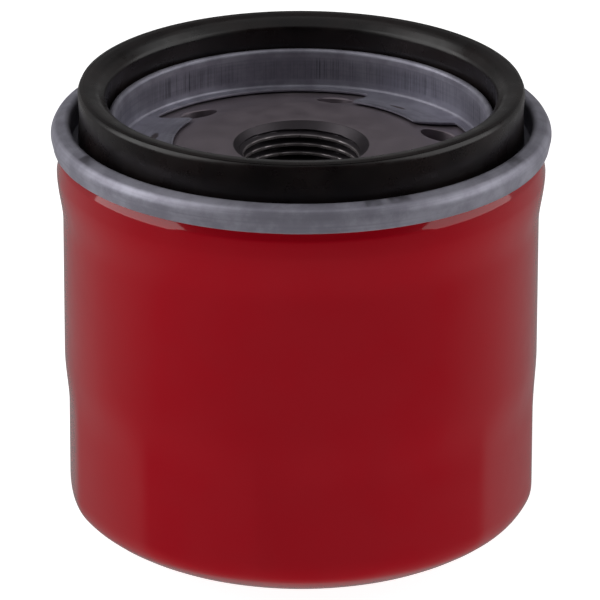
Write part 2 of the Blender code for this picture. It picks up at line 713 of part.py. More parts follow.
MEDIA_BOTTOM = CAP_FLOOR + 2 * GAP + ADHESIVE_THICKNESS
UPPER_CAP_UNDERSIDE = UPPER_CAP_TOP - CAP_GAUGE
MEDIA_TOP = UPPER_CAP_UNDERSIDE - 2 * GAP - ADHESIVE_THICKNESS

end_cap("upper_end_cap", UPPER_CAP_TOP - CAP_GAUGE / 2, UPPER_CAP_TOP - CAP_RIM_DEPTH, UPPER_CAP_BORE)
end_cap("lower_end_cap", LOWER_CAP_UNDERSIDE + CAP_GAUGE / 2, LOWER_CAP_UNDERSIDE + CAP_RIM_DEPTH,
        LOWER_CAP_BORE)
adhesive("upper_cap_adhesive", MEDIA_TOP + GAP)
adhesive("lower_cap_adhesive", CAP_FLOOR + GAP)
pleated_media(MEDIA_BOTTOM, MEDIA_TOP)
media_seam_clip(MEDIA_BOTTOM + CLIP_MARGIN, MEDIA_TOP - CLIP_MARGIN)
centre_tube(CAP_FLOOR + GAP, UPPER_CAP_UNDERSIDE - GAP)
bypass_valve_seat()
bypass_valve_cage()
bypass_valve_seal()
bypass_valve_poppet()
coil("bypass_spring", SPRING_STEEL, BYPASS_WIRE, BYPASS_COIL_RADIUS, BYPASS_TURNS,
     POPPET_BOTTOM + POPPET_DISC + GAP, CAGE_TOP - CAGE_GAUGE - GAP, 12)
coil("support_spring", SPRING_STEEL, SUPPORT_WIRE, SUPPORT_COIL_RADIUS, SUPPORT_TURNS,
     CAN_GAUGE + GAP, LOWER_CAP_UNDERSIDE - GAP, 18)
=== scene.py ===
"""Looks of the spin-on oil filter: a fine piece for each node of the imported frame.

Lengths are in millimetres, and each mesh is made in metres. +X is 0 degrees, +Y is 90.
"""

import math

import bmesh
import bpy
import numpy as np
from mathutils import Matrix, Vector


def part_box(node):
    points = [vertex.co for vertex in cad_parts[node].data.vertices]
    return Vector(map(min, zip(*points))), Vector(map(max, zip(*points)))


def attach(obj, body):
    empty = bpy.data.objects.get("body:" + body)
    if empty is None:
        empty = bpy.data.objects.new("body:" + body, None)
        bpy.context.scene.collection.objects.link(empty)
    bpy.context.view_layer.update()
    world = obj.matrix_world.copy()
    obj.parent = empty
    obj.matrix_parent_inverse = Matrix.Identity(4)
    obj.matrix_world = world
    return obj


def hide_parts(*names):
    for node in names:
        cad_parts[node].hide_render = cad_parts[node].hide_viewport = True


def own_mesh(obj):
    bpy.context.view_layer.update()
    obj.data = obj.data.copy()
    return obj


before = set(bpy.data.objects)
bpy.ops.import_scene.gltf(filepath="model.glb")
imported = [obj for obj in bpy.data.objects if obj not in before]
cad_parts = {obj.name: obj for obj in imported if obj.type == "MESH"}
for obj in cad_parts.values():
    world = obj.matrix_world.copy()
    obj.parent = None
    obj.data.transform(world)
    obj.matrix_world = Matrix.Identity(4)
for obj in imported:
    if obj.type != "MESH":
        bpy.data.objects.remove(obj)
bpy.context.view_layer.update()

MM = 0.001


def size_of(node):
    """Outer radius, bottom and top of a round CAD node, in millimetres."""
    low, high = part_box(node)
    return high.x / MM, low.z / MM, high.z / MM


COLUMNS = 288                   # sides of a large round piece
SMALL_COLUMNS = 144
CAN_COLUMNS = 360
LID_COLUMNS = 540
PLATE_COLUMNS = 216

# can
CAN_GAUGE = 0.35
CAN_RADIUS = 38.15
CAN_FLAT_RADIUS = 20.56
CAN_DOME_RADIUS = 24.9
CAN_DOME_ANGLE = 38.7
CAN_BULGE_RADIUS = 39.1
CAN_BULGE = (54.0, 62.3)
CAN_SHOULDER = (38.7, 64.7)
CAN_SHOULDER_BEND = 2.0
CAN_NECK_RADIUS = 37.9
CAN_NECK_BOTTOM = 66.3
CAN_HOOK_END = 66.95
FLUTES = 12
FLUTE_PHASE = -100.5
FLUTE_DEPTH = 0.5
FLUTE_NECKING = 0.2
FLUTE_FOOT = (4.0, 9.7)
FLUTE_HEAD = (22.0, 31.5)
FLUTE_RIDGE = 0.1               # rounding of the ridge, as a share of half a flute

# double seam, within which the can and the lid are folded together
SEAM_TOP_RADIUS = size_of("seaming_lid")[0]
SEAM_BOTTOM = 66.2
SEAM_TOP = 70.9
SEAM_WIDEST = 68.8              # height at which the seam reaches its full radius
SEAM_GAP = 0.3                  # between the can's fold and the lid's
SEAM_FOLD_DROP = 0.9            # from the lid's underside to the top of the can's fold
SEALANT_WIDTH = 0.18
SEALANT_ROOM = 0.1              # between the sealant and the can's fold
SEALANT_ARC = (50, 130)

# lid
LID_GAUGE = 0.4
CUT_EDGE = 0.1                  # rounding of a sheared edge
SEAM_WALL_RADIUS = 39.65        # outside of the seam at its lower fold
SEAM_EDGE = (39.25, 70.2)       # where the sloped top meets the side, before rounding
CHUCK_WALL_RADIUS = 37.25
GROOVE_FLOOR = 66.1
GROOVE_INNER_RADIUS = 30.8
RIM_TOP = 71.5
SKIRT_RADIUS = 29.6
FLANGE_RADIUS = 28.0
LID_HOOK_RADIUS = 38.175
LID_HOOK_LENGTH = 2.0
FLANGE_BEND = 0.7
GROOVE_BEND = 0.35
SEAM_INNER_BEND = 0.65
SEAM_OUTER_BEND = 0.8
SEAM_SIDE_BEND = 1.6
SEAM_SIDE_ROOM = 0.07           # what the side's bend takes off the seam's full radius
LOBES = 3
LOBE_ANGLE = 47.0
LOBE_HALF_ANGLE = 18.6          # at the lobe's root
LOBE_FLARE = 0.11               # a lobe's inner edge is wider than its root by this share
LOBE_RADIUS = 20.5
LOBE_ROOT = 29.0                # the sheet is plain beyond this radius
LOBE_EASE = 0.9                 # degrees over which a lobe's corner is rounded
LOBE_GAP = 0.3                  # between the plate and the sheet welded to it
WELD_RADIUS = 24.0
WELD_SIZE = (2.3, 0.8)          # along and across the rim
WELD_DEPTH = 0.16
WELD_OFFSET = 2.3               # degrees from the middle of its lobe
DRAWN_BAND = ((66.0, 66.9), (69.3, 70.4))       # where the scratches start and end in height
SCUFF_BAND = ((37.3, 37.7), (38.9, 39.3))       # the same for the scuffs, in radius
SCUFF_HEIGHT = SEAM_TOP - 1.2
SCUFFS = ((-73, 2.6), (-66.5, 3.2), (-28, 4.0), (118, 5.0), (-151, 3.0))    # middle, half width in degrees

# gasket
GASKET_WIDTH = 4.6
GASKET_WAIST = (0.12, 0.28)     # hollow of the inner and of the outer wall
GASKET_FOOT_BEND = (0.4, 0.45)
GASKET_INNER_DROP = 1.7         # the top slopes down this far to the inner wall
GASKET_SHOULDER = (1.5, 0.35)   # in from the inner wall, and down from the top
GASKET_CREST = 1.2              # in from the outer wall
GASKET_OUTER_DROP = 0.25

# base plate
PLATE_THICKNESS = 3.6
DISH_FLAT_RADIUS = 19.5
DISH_FOOT_RADIUS = 26.5
DISH_RISE = 1.8
DISH_EASE = 0.25                # softness of the dish's two bends
DISH_BEND = 1.5
PLATE_TOP = size_of("base_plate")[2] - DISH_RISE
PLATE_RADIUS = size_of("base_plate")[0]
PLATE_EDGE = 0.4
NECK_RADIUS = 12.75
NECK_BEND = 0.8
NECK_EDGE = 0.5
THREAD_PITCH = 1.5
THREAD_MINOR_RADIUS = 9.2
THREAD_MAJOR_RADIUS = 10.0
THREAD_CHAMFER_RADIUS = 10.85
THREAD_CREST = 0.25             # shares of half a pitch: the flat crest, then the flank
THREAD_FLANK = 0.62
THREAD_ROUNDING = 0.35
THREAD_ROWS = 18                # in one pitch
INLETS = 6
INLET_CIRCLE_RADIUS = 23.0
INLET_RADIUS = 2.95
INLET_PHASE = 16.2
INLET_LIP = 0.12

# anti-drain valve
COLLAR_RADIUS = 15.4
COLLAR_HEIGHT = 6.5
COLLAR_WALL = 1.2
SKIRT_MIDDLE = 22.0

# element
PLEATS = 36
PAPER = 0.7
PLEAT_TIP = (32.4, 0.95, 0.8)   # radius, half width and bend of the outer folds
PLEAT_ROOT = (14.6, 0.65, 0.55)
PLEAT_CURL = 0.07
CLIP_GAUGE = 0.3
CLIP_BEND = 0.5
CAP_GAUGE = 0.4
CAP_RIM_DEPTH = 3.4
CAP_RIM_BEND = 0.9
CAP_BORES = {1: 11.8, -1: 9.0}  # of the upper and of the lower cap
CAP_RING = ((20.5, 21.8), (25.2, 26.5))     # where the pressed ring starts and ends in radius
CAP_RING_DEPTH = 0.22
ADHESIVE_BORE = 13.7
ADHESIVE_EDGE = 0.25
TUBE_GAUGE = 0.4
TUBE_HOLES_ROUND = 6
TUBE_HOLE_ROWS = 5
TUBE_HOLE_RADIUS = 2.5
TUBE_HOLE_PHASE = 4.2
TUBE_SEAM_TURN = 330            # the tube's lock seam
TUBE_SEAM_HALF_WIDTH = (3.6, 2.9)
TUBE_SEAM_RISE = 0.22

# bypass valve
VALVE_BORE = 5.5
SEAT_LIP = 6.3
SEAT_LIP_FOOT = 6.8
SEAT_FLANGE = (13.3, 14.0)
SEAT_SLEEVE = (7.9, 8.7)
CAGE_GAUGE = 0.5
CAGE_RADIUS = 9.4
CAGE_BORE = 2.2
CAGE_BENDS = (0.8, 1.5)
CAGE_WINDOW_RADIUS = 4.0
CAGE_WINDOW_REACH = 12          # of the cutter, past the cage's wall
SEAL_BORE = 2.0
POPPET_STEM = 1.8
POPPET_BOSS = 1.7
POPPET_DISC = 1.2
POPPET_GAP = 0.3                # between the seal and the disc

# springs: wire radius, coil radius, number of turns
SUPPORT_SPRING = (0.9, 19.0, 3)
BYPASS_SPRING = (0.4, 4.2, 5)
SPRING_STEPS = 56               # in one turn
SPRING_GRIND = 0.3              # share of the wire's radius ground off each end


# ------------ outlines in the (r, z) plane

def unit(a, b):
    length = math.hypot(b[0] - a[0], b[1] - a[1])
    return ((b[0] - a[0]) / length, (b[1] - a[1]) / length)


def arc(centre, radius, start, end, steps):
    """Points of an arc, angles in degrees from +r."""
    angles = np.radians(np.linspace(start, end, steps + 1))
    return [(centre[0] + radius * math.cos(a), centre[1] + radius * math.sin(a)) for a in angles]


def bend(before, corner, after, radius, steps):
    """The arc of one bend, or the sharp corner itself where radius is 0."""
    into = unit(corner, before)
    out = unit(corner, after)
    opening = math.acos(max(-1.0, min(1.0, into[0] * out[0] + into[1] * out[1])))
    if radius == 0 or opening > math.radians(179.9):
        return [corner]
    middle = unit((0, 0), (into[0] + out[0], into[1] + out[1]))
    reach = radius / math.sin(opening / 2)
    run = radius / math.tan(opening / 2)
    centre = (corner[0] + middle[0] * reach, corner[1] + middle[1] * reach)
    first = (corner[0] + into[0] * run, corner[1] + into[1] * run)
    last = (corner[0] + out[0] * run, corner[1] + out[1] * run)
    start = math.degrees(math.atan2(first[1] - centre[1], first[0] - centre[0]))
    end = math.degrees(math.atan2(last[1] - centre[1], last[0] - centre[0]))
    turn = (end - start + 180) % 360 - 180
    return arc(centre, radius, start, start + turn, steps)


def open_path(corners, steps=6):
    """A path through (r, z, bend radius) corners."""
    path = [corners[0][:2]]
    for before, corner, after in zip(corners, corners[1:], corners[2:]):
        path += bend(before[:2], corner[:2], after[:2], corner[2], steps)
    return path + [corners[-1][:2]]


def closed_path(corners, steps=6):
    """A closed outline through (r, z, bend radius) corners."""
    path = []
    for i, corner in enumerate(corners):
        before = corners[i - 1]
        after = corners[(i + 1) % len(corners)]
        path += bend(before[:2], corner[:2], after[:2], corner[2], steps)
    return path


def sheet_section(path, gauge, nose=0.0):
    """Closed section of a sheet with this middle line; nose rounds its two cut edges."""
    sides = ([], [])
    for i, point in enumerate(path):
        before = unit(path[i - 1], point) if i > 0 else unit(point, path[1])
        after = unit(point, path[i + 1]) if i < len(path) - 1 else before
        normal = unit((0, 0), (-before[1] - after[1], before[0] + after[0]))
        stretch = gauge / 2 / (normal[0] * -before[1] + normal[1] * before[0])
        for side, sign in zip(sides, (1, -1)):
            side.append((point[0] + sign * normal[0] * stretch, point[1] + sign * normal[1] * stretch))
    outline = sides[0] + sides[1][::-1]
    if nose == 0:
        return outline
    last = len(path) - 1
    rounds = {0: nose, last: nose, last + 1: nose, 2 * last + 1: nose}
    return closed_path([point + (rounds.get(i, 0),) for i, point in enumerate(outline)], 3)


def spaced(path, step):
    """The same path with points no further apart than step."""
    dense = [path[0]]
    for a, b in zip(path, path[1:]):
        count = max(1, math.ceil(math.hypot(b[0] - a[0], b[1] - a[1]) / step))
        for i in range(1, count + 1):
            dense.append((a[0] + (b[0] - a[0]) * i / count, a[1] + (b[1] - a[1]) * i / count))
    return dense


def smooth_step(low, high, value):
    share = np.clip((value - low) / (high - low), 0, 1)
    return share * share * (3 - 2 * share)


# ------------ meshes

def piece(name, vertices, faces, sharp=35):
    """A closed mesh object from millimetre points, normals outward, smooth with sharp creases."""
    mesh = bpy.data.meshes.new(name)
    mesh.from_pydata(np.asarray(vertices) * MM, [], faces)
    work = bmesh.new()
    work.from_mesh(mesh)
    bmesh.ops.recalc_face_normals(work, faces=work.faces)
    work.to_mesh(mesh)
    work.free()
    mesh.shade_smooth()
    mesh.set_sharp_from_angle(angle=math.radians(sharp))
    shape = bpy.data.objects.new(name, mesh)
    bpy.context.scene.collection.objects.link(shape)
    return shape


def turned(name, outline, columns=COLUMNS, warp=None, sharp=35):
    """A turned body. An outline whose ends lie on the axis is closed by a point there.

    warp(r, z, turn) gives the changed r, z and turn of the whole grid, turn in degrees.
    """
    profile = np.array(outline, float)
    turn = np.repeat(np.arange(columns)[None] * 360 / columns, len(profile), axis=0)
    r = np.repeat(profile[:, :1], columns, axis=1)
    z = np.repeat(profile[:, 1:], columns, axis=1)
    if warp:
        r, z, turn = warp(r, z, turn)
    x = r * np.cos(np.radians(turn))
    y = r * np.sin(np.radians(turn))
    poles = profile[:, 0] < 1e-6
    vertices = []
    rings = []
    for i in range(len(profile)):
        count = 1 if poles[i] else columns
        rings.append([len(vertices) + k % count for k in range(columns)])
        vertices += [(x[i, k], y[i, k], z[i, k]) for k in range(count)]
    faces = []
    for i, ring in enumerate(rings):
        following = rings[(i + 1) % len(rings)]
        if ring[0] == ring[1] and following[0] == following[1]:
            continue
        for k in range(columns):
            n = (k + 1) % columns
            corners = dict.fromkeys((ring[k], ring[n], following[n], following[k]))
            faces.append(tuple(corners))
    return piece(name, vertices, faces, sharp)


def band(first, second, count):
    """Quads between two rings of count vertices that start at first and at second."""
    ahead = [(i + 1) % count for i in range(count)]
    return [(first + i, first + n, second + n, second + i) for i, n in enumerate(ahead)]


def extruded(name, outline, bottom, top, rows):
    """A band whose closed (x, y) outline runs from bottom to top, capped by one face at each end."""
    count = len(outline)
    vertices = []
    for z in np.linspace(bottom, top, rows + 1):
        vertices += [(x, y, z) for x, y in outline]
    faces = [tuple(range(count)), tuple(range(rows * count, (rows + 1) * count))]
    for row in range(rows):
        faces += band(row * count, (row + 1) * count, count)
    return piece(name, vertices, faces)


def cut(shape, cutters, sharp=35):
    """Subtracts the cutters, one Boolean for all, and makes the result a plain mesh."""
    joined = bmesh.new()
    for cutter in cutters:
        joined.from_mesh(cutter.data)
        bpy.data.objects.remove(cutter)
    mesh = bpy.data.meshes.new("cutter")
    joined.to_mesh(mesh)
    joined.free()
    tool = bpy.data.objects.new("cutter", mesh)
    bpy.context.scene.collection.objects.link(tool)
    boolean = shape.modifiers.new("Cut", "BOOLEAN")
    boolean.object = tool
    boolean.solver = "EXACT"
    bpy.context.view_layer.update()
    evaluated = shape.evaluated_get(bpy.context.evaluated_depsgraph_get())
    result = bpy.data.meshes.new_from_object(evaluated)
    shape.modifiers.clear()
    shape.data = result
    bpy.data.objects.remove(tool)
    result.shade_smooth()
    result.set_sharp_from_angle(angle=math.radians(sharp))
    return shape


def peg(outline, matrix, columns=40):
    """A turned cutter about its own Z, placed by a matrix in millimetres."""
    shape = turned("peg", outline, columns)
    move = Matrix.Translation(matrix.to_translation() * MM) @ matrix.to_3x3().to_4x4()
    shape.data.transform(move)
    return shape


def crosswise_peg(radius, reach, height, turn, columns):
    """A level cutter through the axis that makes two opposite holes, turn in radians."""
    outline = [(0, -reach), (radius, -reach), (radius, reach), (0, reach)]
    level = Matrix.Rotation(turn, 4, "Z") @ Matrix.Rotation(math.pi / 2, 4, "X")
    return peg(outline, Matrix.Translation((0, 0, height)) @ level, columns)


def wire(name, points, radius, sides, low, high):
    """A round wire along a path, its ends cut square and ground flat between low and high."""
    path = np.array(points, float)
    along = np.gradient(path, axis=0)
    along /= np.linalg.norm(along, axis=1)[:, None]
    out = path * (1, 1, 0)
    out -= along * (out * along).sum(1)[:, None]
    out /= np.linalg.norm(out, axis=1)[:, None]
    up = np.cross(along, out)
    vertices = []
    for spot, first, second in zip(path, out, up):
        for k in range(sides):
            a = 2 * math.pi * k / sides
            vertices.append(spot + radius * (math.cos(a) * first + math.sin(a) * second))
    vertices = np.array(vertices)
    vertices[:, 2] = np.clip(vertices[:, 2], low, high)
    faces = [tuple(range(sides)), tuple(range(len(vertices) - sides, len(vertices)))]
    for i in range(len(path) - 1):
        faces += band(i * sides, (i + 1) * sides, sides)
    return piece(name, vertices, faces, 40)


def paint(shape, attribute, value):
    """Stores value(x, y, z), in millimetres, as a number on each vertex for the material to read."""
    spots = np.zeros(len(shape.data.vertices) * 3)
    shape.data.vertices.foreach_get("co", spots)
    x, y, z = spots.reshape(-1, 3).T / MM
    layer = shape.data.attributes.new(attribute, "FLOAT", "POINT")
    layer.data.foreach_set("value", np.asarray(value(x, y, z), np.float32))


def settle(shape, node, body, material):
    """The piece stands for its CAD node."""
    shape.data.materials.clear()
    shape.data.materials.append(material)
    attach(shape, body)
    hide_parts(node)
    return shape


# ------------ material graphs

class Graph:
    """A Principled material with short ways to add procedural nodes."""

    def __init__(self, name, metallic=0.0, **sockets):
        self.material = bpy.data.materials.new(name)
        self.material.use_nodes = True
        self.tree = self.material.node_tree
        self.shader = self.tree.nodes["Principled BSDF"]
        self.shader.inputs["Metallic"].default_value = metallic
        for socket, value in sockets.items():
            self.shader.inputs[socket.replace("_", " ")].default_value = value
        self.spot = self.add("ShaderNodeTexCoord").outputs["Object"]

    def add(self, kind, **settings):
        node = self.tree.nodes.new(kind)
        for key, value in settings.items():
            setattr(node, key, value)
        return node

    def link(self, value, socket):
        if isinstance(value, bpy.types.NodeSocket):
            self.tree.links.new(value, socket)
        else:
            socket.default_value = value

    def math(self, operation, a, b):
        node = self.add("ShaderNodeMath", operation=operation)
        self.link(a, node.inputs[0])
        self.link(b, node.inputs[1])
        return node.outputs[0]

    def stretched(self, x, y, z):
        """The object's coordinates, in metres, times a scale for each axis."""
        node = self.add("ShaderNodeVectorMath", operation="MULTIPLY")
        self.link(self.spot, node.inputs[0])
        node.inputs[1].default_value = (x, y, z)
        return node.outputs[0]

    def polar(self, around, outward, up):
        """Coordinates that vary round the axis, with the distance from it and with height."""
        flat = self.add("ShaderNodeVectorMath", operation="MULTIPLY")
        self.link(self.spot, flat.inputs[0])
        flat.inputs[1].default_value = (1, 1, 0)
        length = self.add("ShaderNodeVectorMath", operation="LENGTH")
        self.link(flat.outputs[0], length.inputs[0])
        direction = self.add("ShaderNodeVectorMath", operation="NORMALIZE")
        self.link(flat.outputs[0], direction.inputs[0])
        ring = self.add("ShaderNodeVectorMath", operation="SCALE")
        self.link(direction.outputs[0], ring.inputs[0])
        ring.inputs["Scale"].default_value = around
        parts = self.add("ShaderNodeSeparateXYZ")
        self.link(self.spot, parts.inputs[0])
        height = self.math("MULTIPLY_ADD", parts.outputs["Z"], up)
        node = height.node
        self.link(self.math("MULTIPLY", length.outputs["Value"], outward), node.inputs[2])
        joined = self.add("ShaderNodeCombineXYZ")
        self.link(height, joined.inputs["Z"])
        total = self.add("ShaderNodeVectorMath", operation="ADD")
        self.link(ring.outputs[0], total.inputs[0])
        self.link(joined.outputs[0], total.inputs[1])
        return total.outputs[0]

    def noise(self, vector, scale, detail=2.0, roughness=0.5):
        node = self.add("ShaderNodeTexNoise")
        self.link(vector, node.inputs["Vector"])
        node.inputs["Scale"].default_value = scale
        node.inputs["Detail"].default_value = detail
        node.inputs["Roughness"].default_value = roughness
        return node.outputs["Fac"]

    def remap(self, value, low, high, to_low=0.0, to_high=1.0):
        node = self.add("ShaderNodeMapRange", interpolation_type="SMOOTHSTEP")
        self.link(value, node.inputs["Value"])
        limits = {"From Min": low, "From Max": high, "To Min": to_low, "To Max": to_high}
        for socket, number in limits.items():
            node.inputs[socket].default_value = number
        return node.outputs["Result"]

    def attribute(self, name):
        return self.add("ShaderNodeAttribute", attribute_name=name).outputs["Fac"]

    def mix(self, factor, a, b):
        node = self.add("ShaderNodeMix", data_type="RGBA")
        self.link(factor, node.inputs["Factor"])
        for value, socket in ((a, node.inputs["A"]), (b, node.inputs["B"])):
            self.link(value if isinstance(value, bpy.types.NodeSocket) else (*value, 1.0), socket)
        return node.outputs["Result"]

    def colour(self, value):
        self.link(value, self.shader.inputs["Base Color"])

    def roughness(self, value):
        self.link(value, self.shader.inputs["Roughness"])

    def bump(self, *layers):
        """Layers of (height, distance in millimetres), added up."""
        normal = None
        for height, distance in layers:
            node = self.add("ShaderNodeBump")
            self.link(height, node.inputs["Height"])
            node.inputs["Distance"].default_value = distance * MM
            if normal:
                self.link(normal, node.inputs["Normal"])
            normal = node.outputs["Normal"]
        self.link(normal, self.shader.inputs["Normal"])
        return self.material


def red_paint():
    g = Graph("red_paint", Specular_IOR_Level=0.08, Coat_Weight=1.0, Coat_Roughness=0.07, Coat_IOR=1.5)
    cloud = g.noise(g.spot, 35, 2)
    g.colour(g.mix(cloud, (0.30, 0.0010, 0.007), (0.35, 0.0014, 0.009)))
    g.roughness(g.remap(g.noise(g.spot, 140, 3), 0.3, 0.7, 0.30, 0.38))
    peel = g.noise(g.spot, 420, 2)
    ripple = g.noise(g.stretched(60, 60, 22), 1, 1)
    return g.bump((peel, 0.012), (ripple, 0.06))


def zinc_plate():
    g = Graph("zinc_plate", metallic=0.55)
    streak = g.noise(g.stretched(25, 25, 2600), 1, 4, 0.6)
    drawn = g.noise(g.polar(110, 0, 30), 1, 5, 0.7)
    worn = g.remap(g.noise(g.polar(3.5, 0, 60), 1, 1), 0.38, 0.62, 0.25, 1.0)
    cloud = g.remap(g.noise(g.spot, 190, 5, 0.65), 0.34, 0.66)
    wall = g.attribute("drawn_wall")
    scuff = g.attribute("scuff")
    weld = g.attribute("weld")
    tone = g.mix(cloud, (0.29, 0.28, 0.34), (0.42, 0.41, 0.485))
    tone = g.mix(g.remap(streak, 0.45, 0.75, 0, 0.5), tone, (0.26, 0.255, 0.305))
    scratch = g.math("MULTIPLY", g.math("MULTIPLY", wall, worn), g.remap(drawn, 0.46, 0.66))
    tone = g.mix(g.math("MULTIPLY", wall, 0.30), tone, (0.14, 0.14, 0.18))
    tone = g.mix(g.math("MULTIPLY", scratch, 0.8), tone, (0.035, 0.035, 0.05))
    smudge = g.math("MULTIPLY", scuff, g.remap(g.noise(g.spot, 240, 2), 0.34, 0.66))
    tone = g.mix(g.math("MULTIPLY", smudge, 0.8), tone, (0.05, 0.045, 0.055))
    burnt = g.remap(g.math("ADD", weld, g.math("MULTIPLY", g.noise(g.spot, 900, 3), 0.5)), 0.55, 0.95)
    g.colour(g.mix(g.math("MULTIPLY", burnt, 0.85), tone, (0.07, 0.045, 0.04)))
    rough = g.math("ADD", g.remap(streak, 0.3, 0.7, 0.40, 0.54), g.math("MULTIPLY", scratch, 0.1))
    g.roughness(rough)
    grain = g.noise(g.spot, 2600, 2)
    return g.bump((streak, 0.010), (grain, 0.006), (g.math("MULTIPLY", drawn, wall), 0.03))


def phosphated_steel():
    g = Graph("phosphated_steel", metallic=0.65)
    mottle = g.noise(g.spot, 260, 4, 0.6)
    lathe = g.noise(g.polar(1.5, 3200, 0), 1, 2)
    bare = g.attribute("bare")
    tone = g.mix(mottle, (0.24, 0.20, 0.23), (0.33, 0.28, 0.315))
    # painted shade: the threaded bore and its chamfer get a near-black tone
    tone = g.mix(g.math("MULTIPLY", g.attribute("bore"), 0.9), tone, (0.035, 0.030, 0.035))
    g.colour(g.mix(g.math("MULTIPLY", bare, 0.8), tone, (0.45, 0.41, 0.42)))
    g.roughness(g.math("SUBTRACT", g.remap(mottle, 0.3, 0.7, 0.34, 0.46), g.math("MULTIPLY", bare, 0.12)))
    return g.bump((g.noise(g.spot, 2400, 3), 0.012), (lathe, 0.006))


def black_rubber():
    g = Graph("black_rubber", Specular_IOR_Level=0.5)
    bloom = g.noise(g.polar(4, 300, 120), 1, 3)
    g.colour(g.mix(g.remap(bloom, 0.35, 0.7), (0.0050, 0.0030, 0.0034), (0.012, 0.0075, 0.0075)))
    g.roughness(g.remap(g.noise(g.spot, 300, 3), 0.3, 0.7, 0.25, 0.36))
    return g.bump((g.noise(g.polar(3, 2600, 2600), 1, 3), 0.006), (g.noise(g.spot, 1800, 2), 0.005))


def nitrile_rubber():
    g = Graph("nitrile_rubber")
    g.colour(g.mix(g.noise(g.spot, 200, 3), (0.016, 0.013, 0.011), (0.045, 0.036, 0.030)))
    g.roughness(g.remap(g.noise(g.spot, 700, 2), 0.3, 0.7, 0.5, 0.66))
    return g.bump((g.noise(g.spot, 2400, 2), 0.015))


def pressed_steel():
    g = Graph("pressed_steel", metallic=1.0)
    spangle = g.add("ShaderNodeTexVoronoi")
    g.link(g.spot, spangle.inputs["Vector"])
    spangle.inputs["Scale"].default_value = 420
    flake = g.remap(spangle.outputs["Color"], 0.1, 0.9, 0.0, 1.0)
    g.colour(g.mix(flake, (0.40, 0.395, 0.385), (0.56, 0.55, 0.54)))
    g.roughness(g.remap(g.noise(g.spot, 600, 3), 0.3, 0.7, 0.28, 0.42))
    return g.bump((g.noise(g.stretched(120, 120, 2400), 1, 3), 0.006))


def spring_steel():
    g = Graph("spring_steel", metallic=1.0)
    g.colour(g.mix(g.noise(g.spot, 240, 3), (0.22, 0.21, 0.20), (0.40, 0.385, 0.37)))
    g.roughness(g.remap(g.noise(g.spot, 800, 2), 0.3, 0.7, 0.24, 0.36))
    return g.bump((g.noise(g.stretched(300, 300, 3000), 1, 3), 0.008))


def filter_paper():
    g = Graph("filter_paper", Sheen_Weight=0.2)
    fibre = g.noise(g.stretched(700, 700, 2400), 1, 4, 0.7)
    pulp = g.noise(g.spot, 500, 4, 0.7)
    g.colour(g.mix(fibre, (0.52, 0.34, 0.12), (0.74, 0.56, 0.27)))
    g.roughness(g.remap(pulp, 0.3, 0.7, 0.8, 0.95))
    return g.bump((fibre, 0.05), (pulp, 0.04))


def plastisol():
    g = Graph("plastisol", Subsurface_Weight=0.05)
    g.colour(g.mix(g.noise(g.spot, 220, 3), (0.42, 0.055, 0.03), (0.58, 0.11, 0.06)))
    g.roughness(g.remap(g.noise(g.spot, 400, 2), 0.3, 0.7, 0.42, 0.58))
    return g.bump((g.noise(g.spot, 500, 3), 0.06))


def lining_compound():
    g = Graph("lining_compound")
    g.colour(g.mix(g.noise(g.spot, 300, 3), (0.42, 0.37, 0.27), (0.56, 0.50, 0.38)))
    g.roughness(g.remap(g.noise(g.spot, 500, 2), 0.3, 0.7, 0.55, 0.7))
    return g.bump((g.noise(g.spot, 700, 3), 0.04))


def nylon():
    g = Graph("nylon", Subsurface_Weight=0.1)
    g.colour(g.mix(g.noise(g.spot, 150, 2), (0.62, 0.59, 0.50), (0.72, 0.69, 0.60)))
    g.roughness(g.remap(g.noise(g.spot, 900, 2), 0.3, 0.7, 0.34, 0.46))
    return g.bump((g.noise(g.spot, 1500, 2), 0.012))


RED_PAINT = red_paint()
ZINC = zinc_plate()
PHOSPHATE = phosphated_steel()
RUBBER = black_rubber()
NITRILE = nitrile_rubber()
STEEL = pressed_steel()
SPRING_STEEL = spring_steel()
FILTER_PAPER = filter_paper()
PLASTISOL = plastisol()
SEALANT = lining_compound()
NYLON = nylon()


# ------------ shell

def can_outside():
    """Outside of the can from the middle of its end up to the neck within the seam."""
    dome = arc((CAN_FLAT_RADIUS, CAN_DOME_RADIUS), CAN_DOME_RADIUS, -90, CAN_DOME_ANGLE - 90, 10)
    edge = dome[-1]
    tilt = math.radians(CAN_DOME_ANGLE)
    corner_radius = (CAN_RADIUS - edge[0]) / (1 - math.sin(tilt))
    corner_centre = (CAN_RADIUS - corner_radius, edge[1] + corner_radius * math.cos(tilt))
    corner = arc(corner_centre, corner_radius, CAN_DOME_ANGLE - 90, 0, 12)
    wall = [(CAN_RADIUS, z) for z in np.linspace(corner[-1][1], CAN_BULGE[0], 42)]
    bulge = []
    for z in np.linspace(*CAN_BULGE, 13)[1:]:
        bulge.append((CAN_RADIUS + (CAN_BULGE_RADIUS - CAN_RADIUS) * smooth_step(*CAN_BULGE, z), z))
    top = open_path([(*bulge[-1], 0), (*CAN_SHOULDER, CAN_SHOULDER_BEND),
                     (CAN_NECK_RADIUS, CAN_NECK_BOTTOM, 0)], 5)
    flat = [(r, 0) for r in np.linspace(0, CAN_FLAT_RADIUS, 8)[:-1]]
    return flat + dome + corner[1:] + wall[1:] + bulge + top[1:]


def seam_fold():
    """Centre and radius of the can's fold within the double seam, to the middle of its sheet."""
    wall_radius = CAN_NECK_RADIUS - CAN_GAUGE / 2
    hook_radius = SEAM_TOP_RADIUS - LID_GAUGE - SEAM_GAP - CAN_GAUGE / 2
    fold = (hook_radius - wall_radius) / 2
    return (wall_radius + fold, SEAM_TOP - LID_GAUGE - SEAM_FOLD_DROP - CAN_GAUGE / 2 - fold), fold


def can_hook():
    """Middle line of the can's fold, down to its cut end."""
    centre, fold = seam_fold()
    return arc(centre, fold, 180, 0, 10) + [(centre[0] + fold, CAN_HOOK_END)]


